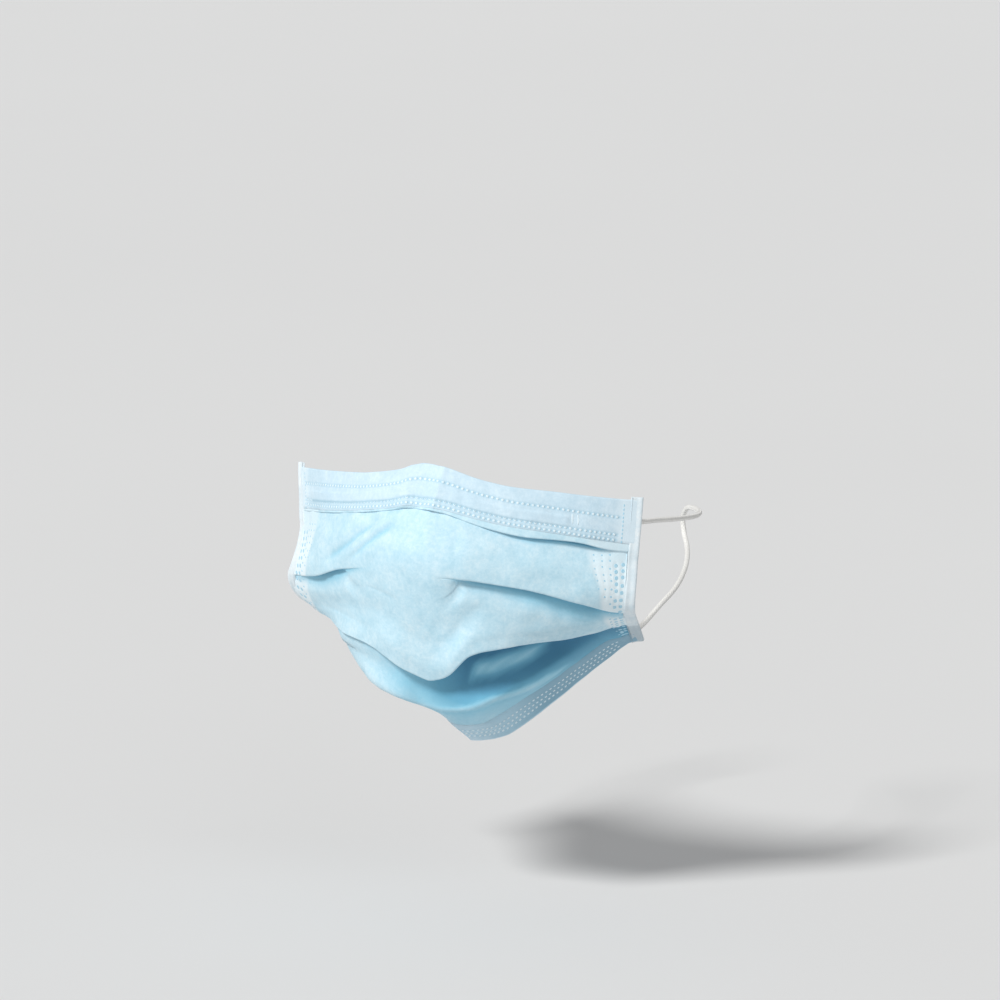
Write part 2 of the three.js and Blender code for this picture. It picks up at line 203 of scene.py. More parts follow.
def coated_wire(name):
    """Iron wire in white polyethylene: a smooth, slightly waxy strip."""
    material, tree = blank_material(name)
    place = node(tree, "ShaderNodeTexCoord").outputs["Object"]
    wax = node(tree, "ShaderNodeTexNoise", {"Scale": 300.0, "Detail": 2.0}, {"Vector": place})
    ramp = node(tree, "ShaderNodeValToRGB", {}, {"Fac": wax.outputs["Fac"]},
                ((0.0, "#DCDFE0"), (1.0, "#F2F4F4")))
    finish_material(tree, {"Roughness": 0.4, "IOR": 1.51}, ramp.outputs["Color"],
                    wax.outputs["Fac"], 0.1, 0.1 * MM)
    return material


def knitted_elastic(name):
    """Round knitted elastic of polyester over elastane: soft and white, with fine slanting
    stitches about 0.7 mm apart and a fuzz of loose fibre."""
    material, tree = blank_material(name)
    flat = node(tree, "ShaderNodeUVMap", uv_map="cloth").outputs["UV"]
    place = node(tree, "ShaderNodeTexCoord").outputs["Object"]
    turn = node(tree, "ShaderNodeMapping", {"Rotation": (0, 0, 0.6), "Scale": (900, 900, 1)},
                {"Vector": flat})
    stitches = node(tree, "ShaderNodeTexVoronoi", {"Scale": 1.0, "Randomness": 0.35},
                    {"Vector": turn.outputs["Vector"]}, feature="F1", voronoi_dimensions="2D")
    fuzz = node(tree, "ShaderNodeTexNoise", {"Scale": 1400.0, "Detail": 3.0}, {"Vector": place})
    ramp = node(tree, "ShaderNodeValToRGB", {}, {"Fac": stitches.outputs["Distance"]},
                ((0.05, "#F7F7F5"), (0.75, "#DAD9D5")))
    height = node(tree, "ShaderNodeMath", {1: -1.0},
                  {0: stitches.outputs["Distance"], 2: fuzz.outputs["Fac"]},
                  operation="MULTIPLY_ADD")
    finish_material(tree, {"Roughness": 0.8, "IOR": 1.5, "Sheen Weight": 0.5,
                           "Sheen Roughness": 0.4},
                    ramp.outputs["Color"], height.outputs[0], 0.5, 0.25 * MM)
    return material


def matt_paper(name):
    """Seamless background paper."""
    material, tree = blank_material(name)
    place = node(tree, "ShaderNodeTexCoord").outputs["Object"]
    tooth = node(tree, "ShaderNodeTexNoise", {"Scale": 40.0, "Detail": 4.0}, {"Vector": place})
    ramp = node(tree, "ShaderNodeValToRGB", {}, {"Fac": tooth.outputs["Fac"]},
                ((0.0, "#DADBDC"), (1.0, "#E0E1E2")))
    finish_material(tree, {"Roughness": 0.9}, ramp.outputs["Color"])
    return material


# ---------------------------------------------------------------- sizes of the mask, mm
FLAT_WIDTH = 180.0
HALF = FLAT_WIDTH / 2
FOLDED_HEIGHT = 95.0
PLEAT_DEPTH = 11.0
# cloth that one turn of a pleat takes, and the cloth beyond a lap before it bellies out
TURN_LENGTH = 1.5
LAP_MARGIN = 2.0
TOP_HEM = 18.0
BOTTOM_HEM = 12.0
BACK_LEG = 4.0
# the nose wire: how far below the top edge, and how far from each side edge
WIRE_TOP = 9.9
WIRE_WIDTH = 3.2
WIRE_THICK = 0.42
WIRE_LEFT_END = 26.0
WIRE_RIGHT_END = 14.0
BINDING_WIDTH = 5.0
BINDING_PROUD = 1.8
BINDING_SHARE = 1 - 2 * BINDING_WIDTH / FLAT_WIDTH
BINDING_LEG = 1 - 4.2 / HALF

# corners of the side edge at the wearer's left
SIDE_TOP = np.array([76.4, 39.9, -16.5])
SIDE_CREASE = np.array([76.4, 31.3, -60.0])
SIDE_FOOT = np.array([61.4, 73.8, -82.4])
SIDE_ROUNDING = 9.0
# directions in which the cloth comes to the side edge, above and below its crease, and the
# shares of the way down between which it turns
ACROSS_TOP = np.array([0.69, 0.70, -0.17])
ACROSS_FOOT = np.array([0.87, 0.43, 0.23])
ACROSS_TURNS_FROM = 0.38
ACROSS_TURNS_OVER = 0.24

# Middle of the cloth from the bridge of the nose to the bottom edge: share of the way down,
# place, and how a cross row leaves it (across, forward, up) and meets the side binding.
MIDDLE = [
    (0.00, (0.0, 0.0, 0.0), (0.10, 0.06, 0.0, 0.45)),
    (0.13, (0.0, -7.6, -15.8), (0.13, 0.05, 0.0, 0.42)),
    (0.27, (0.0, -14.9, -34.6), (0.20, 0.02, 0.0, 0.34)),
    (0.41, (0.0, -12.4, -53.1), (0.26, 0.0, 0.0, 0.26)),
    (0.69, (0.0, 1.0, -88.2), (0.36, 0.16, 0.05, 0.26)),
    (0.84, (0.0, 8.5, -103.0), (0.44, 0.36, 0.05, 0.15)),
    (1.00, (5.0, 28.0, -120.6), (0.15, 0.02, 0.0, 0.10)),
]

# Pleats: where the fold edge is on the folded cloth, how far down the worn cloth it comes to
# lie, the angle that it is folded by (180 degrees is closed and 0 is flat), how far the
# turned-in cloth lies behind the lip as a share of its width, and how round its turns are.
# Each is given as (distance from the middle, value), with the wearer's right negative.
PLEATS = [
    {"edge": 23.0,
     "lies": [(-90, 18.7), (-30, 18.6), (0, 18.5), (20, 18.9), (40, 21.2), (50, 21.8), (60, 20.6),
              (68, 20.0), (78, 21.4), (90, 20.6)],
     "angle": [(-90, 180), (30, 180), (45, 174), (60, 172), (76, 172), (84, 180), (90, 180)],
     "drop": [(-90, 0.3), (-75, 0.05), (25, 0.05), (55, 0.5), (90, 0.6)],
     "turn": [(-90, 0.42), (-80, 0.3), (25, 0.3), (45, 0.6), (55, 0.7), (90, 0.84)]},
    {"edge": 48.0,
     "lies": [(-90, 47.0), (-70, 46.0), (-30, 46.2), (0, 46.0), (30, 46.7), (70, 45.2), (90, 47.5)],
     "angle": [(-90, 180), (-82, 178), (-66, 165), (-58, 155), (-50, 130), (-42, 80), (-33, 0),
               (12, 0), (18, 50), (27, 130), (40, 152), (55, 156), (72, 158), (84, 178),
               (90, 180)],
     "drop": [(-90, 0.5), (-66, 0.3), (-56, 0.2), (-48, 0.1), (-40, 0.06), (12, 0.08),
              (20, 0.1), (28, 0.18), (60, 0.36), (90, 0.6)],
     "turn": [(-90, 0.7), (-66, 0.62), (35, 0.62), (60, 0.7), (90, 0.84)]},
    {"edge": 73.0,
     "lies": [(-90, 62.0), (-70, 62.5), (-65, 64.0), (-60, 68.0), (-50, 73.2), (-40, 79.2),
              (-30, 84.6), (-20, 90.8), (-10, 95.2), (0, 96.5), (9, 95.0), (14, 91.0),
              (18, 85.5), (22, 82.8), (30, 79.2), (40, 74.1), (50, 69.2), (60, 65.4),
              (70, 63.1), (80, 63.0), (90, 63.8)],
     "angle": [(-90, 180), (-45, 178), (-30, 165), (-15, 135), (-5, 110), (8, 95), (14, 98),
               (20, 112), (35, 120), (55, 126), (70, 150), (84, 178), (90, 180)],
     "drop": [(-90, 0.6), (-74, 0.3), (-60, 0.15), (-30, 0.15), (-15, 0.25), (0, 0.4),
              (12, 0.6), (25, 0.9), (70, 0.9), (90, 0.6)],
     "turn": [(-90, 0.84), (-74, 0.62), (0, 0.62), (12, 0.84), (25, 1.0), (70, 1.0), (90, 0.84)]},
]
# How much further down than the smooth body the bottom edge hangs.
BOTTOM_DROP = [(-90, 0.0), (0, 0.0), (10, 1.5), (20, 6.3), (30, 6.5), (45, 5.3), (65, 4.0),
               (82, 1.0), (90, 0.0)]
# How much lower than the smooth body the top edge lies, beside the nose.
TOP_DIP = [(-90, 0.6), (-75, 0.6), (-60, 1.2), (-45, 2.2), (-30, 2.2), (-22, 1.9), (-15, 0.7),
           (-8, 0.0), (20, 0.0), (33, 1.4), (45, 1.8), (60, 0.4), (75, 0.0), (90, 0.0)]
# The wearer's right side edge stands away from the cheek at its crease and hangs lower behind
# it: share of the way down, and the shift outwards and upwards. The shift starts 52 mm from
# the middle.
RIGHT_EDGE = np.array([(0.0, 0.8, 0.0), (0.12, -0.8, 0.0), (0.25, -2.0, 0.0), (0.35, -1.8, 0.0),
                       (0.43, 0.2, 0.0), (0.5, 5.2, -1.0), (0.56, 5.0, -6.0),
                       (0.65, 3.0, -7.5), (0.8, 0.5, -5.0), (1.0, 0.0, -1.5)])
RIGHT_EDGE_FROM = 52
RIGHT_EDGE_OVER = 34
# The wearer's right jaw fills the cloth out: middle, and reach each way, of the swelling as
# (across, share of the way down), and its height.
JAW = ((-54.0, 0.70), (23.0, 0.14), 8.5)
# cloth that each pleat takes to belly out again below its fold, what share of the depth comes
# back there, and the cloth above the fold that takes the rest
BELLY = (14.0, 7.0, 22.0)
BELLY_SHARE = 0.7
BELLY_BEFORE = 14.0
# how the wearer's right of the bottom edge is drawn back and up under the jaw, over the cloth
# from 2 mm left of the middle to 72 mm right of it
DRAWN_UP = np.array([-3.0, 8.0, 11.0])
# share of their depth that the pleats keep where the sides are bound, and where that starts
BOUND_DEPTH = 0.45
BOUND_FROM = 70
CLOTH = FOLDED_HEIGHT + 2 * PLEAT_DEPTH * len(PLEATS)
# fold edges down the unfolded sheet
FOLD_EDGES = [pleat["edge"] + 2 * PLEAT_DEPTH * k for k, pleat in enumerate(PLEATS)]


# ---------------------------------------------------------------- curves
def smooth(x):
    """Rises from 0 to 1 as x does, level at both ends."""
    x = np.clip(x, 0.0, 1.0)
    return x * x * (3 - 2 * x)


def unit(a):
    return a / np.linalg.norm(a, axis=-1, keepdims=True)


def through(points, steps=60):
    """Centripetal Catmull-Rom curve through points, as a fine line of points."""
    points = np.asarray(points, float)
    ends = np.vstack([2 * points[0] - points[1], points, 2 * points[-1] - points[-2]])
    line = []
    for p0, p1, p2, p3 in zip(ends, ends[1:], ends[2:], ends[3:]):
        d0, d1, d2 = (np.sqrt(np.linalg.norm(b - a)) for a, b in ((p0, p1), (p1, p2), (p2, p3)))
        m1 = ((p1 - p0) / d0 - (p2 - p0) / (d0 + d1) + (p2 - p1) / d1) * d1
        m2 = ((p2 - p1) / d1 - (p3 - p1) / (d1 + d2) + (p3 - p2) / d2) * d1
        t = np.linspace(0, 1, steps, endpoint=False)[:, None]
        line.append(p1 + m1 * t + (-3 * p1 + 3 * p2 - 2 * m1 - m2) * t ** 2
                    + (2 * p1 - 2 * p2 + m1 + m2) * t ** 3)
    return np.vstack([*line, points[-1:]])


def by_distance(knots, x):
    """A value given at a few distances from the middle, softly joined."""
    at, values = zip(*knots)
    spread = np.linspace(-3.0, 3.0, 7)
    return np.mean([np.interp(x + d, at, values) for d in spread], axis=0)


def lengths(line):
    """Distance along a line of points to each of them."""
    steps = np.linalg.norm(np.diff(line, axis=0), axis=1)
    return np.concatenate([[0.0], np.cumsum(steps)])


def by_share(line, share):
    """Points at shares of a line's length."""
    along = lengths(line)
    return np.stack([np.interp(share * along[-1], along, line[:, k]) for k in range(3)], axis=-1)


def rounded_edge():
    """The side edge, with its crease rounded off."""
    before = SIDE_CREASE + unit(SIDE_TOP - SIDE_CREASE) * SIDE_ROUNDING
    after = SIDE_CREASE + unit(SIDE_FOOT - SIDE_CREASE) * SIDE_ROUNDING
    t = np.linspace(0, 1, 80)[:, None]
    bend = before * (1 - t) ** 2 + 2 * SIDE_CREASE * t * (1 - t) + after * t ** 2
    return np.vstack([SIDE_TOP, bend, SIDE_FOOT])


SIDE_EDGE = rounded_edge()
MIDDLE_LINE = through([at for _, at, _ in MIDDLE], 200)


# ---------------------------------------------------------------- the smooth body
def fullness(v):
    """How a cross row leaves the middle line and meets the binding, at shares v down."""
    downs = np.array([row[0] for row in MIDDLE])
    values = np.array([row[2] for row in MIDDLE])
    k = np.clip(np.searchsorted(downs, v, side="left"), 1, len(downs) - 1)
    part = smooth((v - downs[k - 1]) / (downs[k] - downs[k - 1]))[..., None]
    return values[k - 1] + (values[k] - values[k - 1]) * part


def across_side(v):
    """Direction in which the cloth meets the side edge, square to the edge. It turns at the
    edge's crease."""
    tangent = unit(by_share(SIDE_EDGE, np.clip(v + 2e-3, 0, 1))
                   - by_share(SIDE_EDGE, np.clip(v - 2e-3, 0, 1)))
    part = smooth((v - ACROSS_TURNS_FROM) / ACROSS_TURNS_OVER)[..., None]
    across = ACROSS_TOP + (ACROSS_FOOT - ACROSS_TOP) * part
    return unit(across - tangent * np.sum(across * tangent, axis=-1, keepdims=True))


def body(s, v):
    """Points of the smooth body: s runs from -1 to 1 across, v from 0 to 1 down."""
    s, v = np.broadcast_arrays(s, np.clip(v, 0, 1))
    half = np.abs(s)[..., None]
    side = np.where(s < 0, -1.0, 1.0)[..., None] * [1, 0, 0] + [0, 1, 1]
    edge = by_share(SIDE_EDGE, v) * side
    across = across_side(v) * side
    strip = edge + across * (half - 1) * HALF
    start = by_share(MIDDLE_LINE, v)
    end = edge - across * BINDING_WIDTH
    chord = np.linalg.norm(end - start, axis=-1, keepdims=True)
    full = fullness(v)
    leave = np.stack([full[..., 0] * np.where(s < 0, -1, 1), -full[..., 1], full[..., 2]], axis=-1)
    first = start + leave * chord
    second = end - across * chord * full[..., 3:]
    u = np.clip(half / BINDING_SHARE, 0, 1)
    crown = (start * (1 - u) ** 3 + 3 * first * u * (1 - u) ** 2
             + 3 * second * u ** 2 * (1 - u) + end * u ** 3)
    downs, outwards, upwards = RIGHT_EDGE.T
    shift = [np.mean([np.interp(v + d, downs, column) for d in (-0.03, -0.015, 0, 0.015, 0.03)],
                     axis=0) for column in (-outwards, np.zeros(len(downs)), upwards)]
    shift = np.stack(shift, axis=-1) * smooth((-s * HALF - RIGHT_EDGE_FROM)
                                              / RIGHT_EDGE_OVER)[..., None]
    return np.where(half >= BINDING_SHARE, strip, crown) + shift


def rounded_body(s, v):
    """The smooth body with the kink over the middle line rounded off."""
    near = 1 - smooth((np.abs(s) * HALF - 3) / 15)
    total, weights = 0.0, 0.0
    for reach, weight in ((-9, 0.5), (-6, 0.8), (-3, 1), (0, 1), (3, 1), (6, 0.8), (9, 0.5)):
        total = total + weight * body(s + near * reach / HALF, v)
        weights += weight
    return total / weights


def body_axes(s, v):
    """Downward, rightward and outward directions of the smooth body."""
    step = 0.004
    down = unit(rounded_body(s, np.minimum(v + step, 1)) - rounded_body(s, np.maximum(v - step, 0)))
    right = unit(rounded_body(np.minimum(s + step, 1), v)
                 - rounded_body(np.maximum(s - step, -1), v))
    return down, right, unit(np.cross(down, right))


# ---------------------------------------------------------------- pleats
def cloth_rows(step):
    """Distances down the unfolded sheet, with eleven rows round each turn."""
    rows = set(np.round(np.linspace(0, CLOTH, int(CLOTH / step) + 1), 4))
    near = TURN_LENGTH / 2 + 0.3
    for edge in FOLD_EDGES:
        for turn in (edge, edge + PLEAT_DEPTH):
            rows = {t for t in rows if abs(t - turn) > near}
            rows |= set(np.round(turn + np.linspace(-near, near, 11), 4))
    return np.array(sorted(rows))


ROW_STEP = 0.85
ROWS = cloth_rows(ROW_STEP)


def section(x):
    """How far down the body and how far out of it each row of cloth is, in each column."""
    folds = [(np.radians(by_distance(pleat["angle"], x)), edge, edge + PLEAT_DEPTH,
              by_distance(pleat["drop"], x), by_distance(pleat["turn"], x))
             for pleat, edge in zip(PLEATS, FOLD_EDGES)]
    along = np.zeros((len(x), len(ROWS)))
    out = np.zeros_like(along)
    sunk = [np.zeros(len(x)) for _ in folds]
    for i in range(1, len(ROWS)):
        step, at = ROWS[i] - ROWS[i - 1], (ROWS[i] + ROWS[i - 1]) / 2
        heading, share = np.zeros(len(x)), 1.0
        for k, (angle, edge, hidden, drop, turn) in enumerate(folds):
            if edge - TURN_LENGTH / 2 < at < hidden + TURN_LENGTH / 2:
                into = np.clip((at - edge) / TURN_LENGTH + 0.5, 0, 1)
                back = np.clip((at - hidden) / TURN_LENGTH + 0.5, 0, 1)
                heading = angle * (into - back)
                share = drop if into == 1 and back == 0 else turn
                sunk[k] = sunk[k] + step * np.sin(heading) * share
        along[:, i] = along[:, i - 1] + step * np.cos(heading)
        out[:, i] = out[:, i - 1] - step * np.sin(heading) * share
    # the cloth bellies out again after each fold, and a little before it
    for k, (angle, edge, hidden, _, _) in enumerate(folds):
        lap = PLEAT_DEPTH * np.maximum(0, -np.cos(angle)) + LAP_MARGIN
        before = edge - lap - BELLY_BEFORE
        out += ((1 - BELLY_SHARE) * sunk[k])[:, None] * smooth((ROWS - before[:, None])
                                                               / BELLY_BEFORE)
        out += (BELLY_SHARE * sunk[k])[:, None] * smooth((ROWS - (hidden + lap)[:, None])
                                                         / BELLY[k])
    return along, out


def from_line(x, t, line):
    """Distance on the flat cloth from a bent line, and how far along it, from 0 to 1."""
    line = np.asarray(line, float)
    ends = np.concatenate([[0.0], np.cumsum(np.linalg.norm(np.diff(line, axis=0), axis=1))])
    best = np.full(np.broadcast(x, t).shape, 1e9)
    place = np.zeros_like(best)
    for (a, b), done in zip(zip(line, line[1:]), ends):
        step = b - a
        share = np.clip(((x - a[0]) * step[0] + (t - a[1]) * step[1]) / (step @ step), 0, 1)
        gap = np.hypot(x - a[0] - share * step[0], t - a[1] - share * step[1])
        nearer = gap < best
        best = np.where(nearer, gap, best)
        place = np.where(nearer, (done + share * np.linalg.norm(step)) / ends[-1], place)
    return best, place


# Creases of the worn cloth: where they run, as (across, down the cloth), how far they stand
# out, how wide they are, and whether they fade at the start and at the end.
CREASES = [
    # over the nose
    ([(16, 0), (14, 7), (12, 16), (10, 24)], 1.3, 4.5, (False, False)),
    ([(10, 44), (6, 48), (7, 55), (9, 62), (13, 70), (18, 82), (26, 98)], 0.6, 6.0, (True, True)),
    ([(-14, 0), (-14, 7), (-12, 18), (-10, 24)], 1.1, 4.5, (False, True)),
    ([(1, 0), (0, 12), (-1, 24)], -0.5, 7.0, (False, True)),
    # pulled from the nose to the wearer's right cheek
    ([(-14, 49), (-25, 55.5), (-34, 61), (-44, 68)], -1.7, 2.0, (True, True)),
    ([(-18, 47), (-29, 54), (-40, 63), (-48, 69)], 1.2, 2.0, (True, True)),
    ([(-27, 48), (-35, 53.5), (-42, 58), (-52, 63), (-60, 68)], -1.6, 2.0, (True, True)),
    ([(-34, 47), (-44, 53), (-55, 58)], 0.8, 3.0, (True, True)),
    ([(-32, 80), (-18, 82.5), (-8, 84.5)], -0.45, 1.8, (True, True)),
    # under the fold at the wearer's left cheek
    ([(52, 92), (60, 98), (66, 101), (76, 102)], -0.9, 3.0, (True, True)),
    ([(50, 98), (62, 106), (74, 108)], 0.5, 4.0, (True, True)),
    # under the jaw
    ([(8, 134), (19, 136.5), (30, 138), (46, 139), (64, 139)], 1.15, 1.4, (True, True)),
    ([(-24, 143), (-16, 143.1), (-6, 142.3), (2, 142), (10, 141.5), (17, 143.1), (25, 144),
      (37, 146.5), (51, 147.4), (69, 147.4)], 1.4, 1.0, (True, True)),
    ([(-10, 146.5), (6, 146.5), (16, 147.5), (30, 150), (46, 151)], -1.0, 1.8, (True, True)),
    ([(21, 149.9), (30, 149.1), (38, 150.8)], 0.5, 1.2, (True, True)),
    # the wearer's right jaw
    ([(-46, 118), (-34, 128), (-22, 134), (-6, 137)], -0.9, 2.6, (True, True)),
    ([(-52, 112), (-38, 123), (-24, 130), (-10, 133)], 0.7, 2.6, (True, True)),
]


WAVES = 14


def ripples(x, t, size, seed):
    """Soft random swell of the cloth, about size millimetres from crest to crest."""
    draw = np.random.default_rng(seed)
    total = np.zeros(np.broadcast(x, t).shape)
    for _ in range(WAVES):
        turn, phase = draw.uniform(0, 2 * math.pi, 2)
        wave = 2 * math.pi / (size * draw.uniform(0.7, 1.6))
        total = total + np.sin(wave * (x * math.cos(turn) + t * math.sin(turn)) + phase)
    return total / math.sqrt(WAVES)


def creases(x, t):
    """Creases of the worn cloth, as millimetres outwards. Each falls off from a crest that is
    0.4 mm round, and fades over the first 0.3 or the last 0.35 of its length."""
    total = 0.0
    for line, height, width, (fades_in, fades_out) in CREASES:
        gap, place = from_line(x, t, line)
        strength = np.ones_like(place)
        if fades_in:
            strength = strength * smooth(place / 0.3)
        if fades_out:
            strength = strength * smooth((1 - place) / 0.35)
        total = total + height * strength * np.exp(-np.sqrt(gap ** 2 + 0.15) / width)
    return total


# soft swell of the cloth: height, size from crest to crest, and seed
SWELLS = ((0.14, 17.0, 3), (0.07, 7.5, 8))


def relief(x, t):
    """Creases and soft ripples of the worn cloth, as millimetres outwards."""
    swell = sum(height * ripples(x, t, size, seed) for height, size, seed in SWELLS)
    return swell * smooth((HALF - np.abs(x)) / 12) + creases(x, t)


def layered_relief(x):
    """The creases at each row. Under a closed fold the cloth follows the layer over it."""
    across, down = x[:, None], ROWS[None, :]
    total = relief(across, down)
    for pleat, edge in zip(PLEATS, FOLD_EDGES):
        closed = smooth((by_distance(pleat["angle"], x) - 130) / 30)[:, None]
        turned = np.where(ROWS < edge + PLEAT_DEPTH, 2 * edge - ROWS, ROWS - 2 * PLEAT_DEPTH)
        under = smooth((ROWS - edge + 0.1) / 0.2) * smooth((edge + 2 * PLEAT_DEPTH - ROWS) / 5)
        picked = (ROWS > edge - 1) & (ROWS < edge + 2 * PLEAT_DEPTH + 1)
        weight = (closed * under[None, :])[:, picked]
        followed = relief(across, turned[None, picked])
        total[:, picked] = total[:, picked] * (1 - weight) + followed * weight
    return total


def turned_in(x):
    """Where the cloth is turned in under a closed fold, as a share at each row."""
    total = np.zeros((len(x), len(ROWS)))
    for pleat, edge in zip(PLEATS, FOLD_EDGES):
        closed = smooth((by_distance(pleat["angle"], x) - 90) / 40)[:, None]
        inside = (smooth((ROWS - edge + 1.8) / 1.4)
                  * smooth((edge + PLEAT_DEPTH + 1.8 - ROWS) / 1.4))
        total = np.maximum(total, closed * inside[None, :])
    return total


def facing(points):
    """Outward and downward directions of a grid of points."""
    right = np.gradient(points, axis=0)
    down = np.gradient(points, axis=1)
    return unit(np.cross(down, right)), unit(down)


def down_body(x, along):
    """Share of the way down the body of each row, with the fold edges where they lie."""
    v_line = np.linspace(0, 1, 60)
    line = body((x / HALF)[:, None], v_line[None, :])
    whole = np.linalg.norm(np.diff(line, axis=1), axis=-1).sum(axis=1)
    edges = [np.argmin(np.abs(ROWS - edge)) for edge in FOLD_EDGES]
    lies = [by_distance(pleat["lies"], x) / whole for pleat in PLEATS]
    hem_share = TOP_HEM / whole
    foot_share = 1 - (BOTTOM_HEM - 0.6 * by_distance(BOTTOM_DROP, x)) / whole
    v = np.empty_like(along)
    for c in range(len(x)):
        marks = [0.0, TOP_HEM] + [along[c, i] for i in edges] + [along[c, -1] - BOTTOM_HEM,
                                                                along[c, -1]]
        shares = [0.0, hem_share[c]] + [lie[c] for lie in lies] + [foot_share[c], 1.0]
        v[c] = np.interp(along[c], marks, shares)
    return v, whole


def lay_cloth(x):
    """Points, outward directions, downward directions and flat distances of the cloth, for
    columns x and all rows."""
    x = np.asarray(x, float)
    along, out = section(x)
    v, whole = down_body(x, along)
    s = np.broadcast_to((x / HALF)[:, None], v.shape)
    down, _, away = body_axes(s, v)
    out = out * (1 - (1 - BOUND_DEPTH) * smooth((np.abs(x) - BOUND_FROM) / 12))[:, None]
    (mid_x, mid_v), (reach_x, reach_v), height = JAW
    out = out + height * np.exp(-((x[:, None] - mid_x) / reach_x) ** 2
                                - ((v - mid_v) / reach_v) ** 2)
    drop = (by_distance(BOTTOM_DROP, x)[:, None] * smooth((v - 0.8) / 0.2)
            + by_distance(TOP_DIP, x)[:, None] * (1 - smooth(v / 0.3)))
    points = rounded_body(s, v) + away * out[..., None] + down * drop[..., None]
    drawn = (smooth((2 - x) / 15) * smooth((x + 72) / 30))[:, None] * smooth((v - 0.79) / 0.21)
    points = points + drawn[..., None] * DRAWN_UP
    normal, _ = facing(points)
    swell = layered_relief(x)
    # cloth that is turned in faces backwards, so its creases are laid along the body's outward
    # direction, as those of the layer over it are
    turned = turned_in(x)[..., None]
    points = points + (normal * (1 - turned) + away * turned) * swell[..., None]
    normal, down = facing(points)
    steps = np.linalg.norm(np.diff(points, axis=0), axis=-1)
    arc = np.vstack([np.zeros((1, len(ROWS))), np.cumsum(steps, axis=0)])
    centre = np.array([np.interp(0.0, x, arc[:, i]) for i in range(len(ROWS))])
    steps = np.linalg.norm(np.diff(points, axis=1), axis=-1)
    gone = np.hstack([np.zeros((len(x), 1)), np.cumsum(steps, axis=1)])
    return {"x": x, "points": points, "normal": normal, "down": down, "arc": arc - centre,
            "gone": gone, "share": v, "height": v * whole[:, None]}


def at_rows(cloth, rows):
    """The cloth's points, normals, downward directions and arcs at other rows."""
    k = np.clip(np.searchsorted(ROWS, rows) - 1, 0, len(ROWS) - 2)
    part = (rows - ROWS[k]) / (ROWS[k + 1] - ROWS[k])

    def between(values):
        share = part.reshape((1, -1) + (1,) * (values.ndim - 2))
        return values[:, k] + (values[:, k + 1] - values[:, k]) * share

    return (between(cloth["points"]), unit(between(cloth["normal"])),
            unit(between(cloth["down"])), between(cloth["arc"]))


# ---------------------------------------------------------------- meshes
def object_from(name, points, faces, uvs, material, **shares):
    """points in millimetres, faces as index lists, uvs per point, and named shares per point
    that the material reads: puffed, and painted shade."""
    mesh = bpy.data.meshes.new(name)
    mesh.from_pydata((points * MM).tolist(), [], faces)
    layer = mesh.uv_layers.new(name="cloth")
    corners = np.empty(len(mesh.loops), dtype=np.int32)
    mesh.loops.foreach_get("vertex_index", corners)
    layer.data.foreach_set("uv", (uvs[corners] * MM).astype(np.float32).ravel())
    mesh.polygons.foreach_set("use_smooth", [True] * len(mesh.polygons))
    for share_name, values in shares.items():
        mesh.attributes.new(share_name, "FLOAT", "POINT").data.foreach_set(
            "value", values.astype(np.float32).ravel())
    mesh.materials.append(material)
    mesh.validate()
    mesh.update()
    made = bpy.data.objects.new(name, mesh)
    bpy.context.collection.objects.link(made)
    return made


def grid_faces(first, columns, rows, turned=False):
    """Four-sided faces of a grid of points whose numbers start at first."""
    c, r = np.meshgrid(np.arange(columns - 1), np.arange(rows - 1), indexing="ij")
    a = (first + c * rows + r).ravel()
    quad = np.stack([a, a + 1, a + rows + 1, a + rows], axis=1)
    return quad[:, ::-1] if turned else quad


def wall(name, front, back, uv, material, **shares):
    """A closed thin sheet between two grids of points, columns by rows, front outwards."""
    columns, rows = front.shape[:2]
    size = columns * rows
    loop = ([c * rows for c in range(columns)]
            + [(columns - 1) * rows + r for r in range(1, rows)]
            + [c * rows + rows - 1 for c in range(columns - 2, -1, -1)]
            + [r for r in range(rows - 2, 0, -1)])
    rim = [[a, b, b + size, a + size] for a, b in zip(loop, loop[1:] + loop[:1])]
    faces = (grid_faces(0, columns, rows).tolist()
             + grid_faces(size, columns, rows, turned=True).tolist() + rim)
    points = np.vstack([front.reshape(-1, 3), back.reshape(-1, 3)])
    uvs = np.vstack([uv.reshape(-1, 2), uv.reshape(-1, 2)])
    shares = {key: np.concatenate([a.ravel(), a.ravel()]) for key, a in shares.items()}
    return object_from(name, points, faces, uvs, material, **shares)


def settle(piece, node_name=None):
    """Puts a piece on the mask's one body, in place of a CAD node where it stands for one."""
    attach(piece, "root")
    if node_name:
        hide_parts(node_name)


# ---------------------------------------------------------------- ear loops
LOOP_DIAMETER = 2.2
LOOP_ROUTE = [
    (69.5, 32.9, -23.5), (73.3, 37.2, -24.6), (74.6, 44.6, -25.9), (74.0, 60.0, -28.6),
    (73.2, 85.0, -33.2), (69.0, 110.0, -37.8), (60.6, 132.6, -41.7), (51.0, 148.0, -44.2),
    (44.0, 156.5, -47.0), (41.0, 159.5, -52.0), (42.0, 158.5, -57.5), (46.5, 151.5, -61.5),
    (54.0, 134.0, -65.0), (59.5, 112.0, -69.0), (60.5, 93.0, -73.0), (59.7, 76.7, -78.0),
    (58.9, 68.45, -79.4), (57.15, 62.95, -78.8),
]
# the wearer's right loop ends lower, where the side edge hangs lower
LOOP_FOOT_RIGHT = [(59.7, 76.7, -80.6), (59.9, 68.7, -82.2), (58.4, 63.15, -81.7)]
# outward directions of the cloth that the two ends are welded to
LOOP_WELD_OUT = [(0.68, -0.71, 0.18), (0.42, -0.36, -0.83)]
LOOP_WELD_LENGTH = 5.5
LOOP_RINGS = 460
LOOP_SIDES = 14


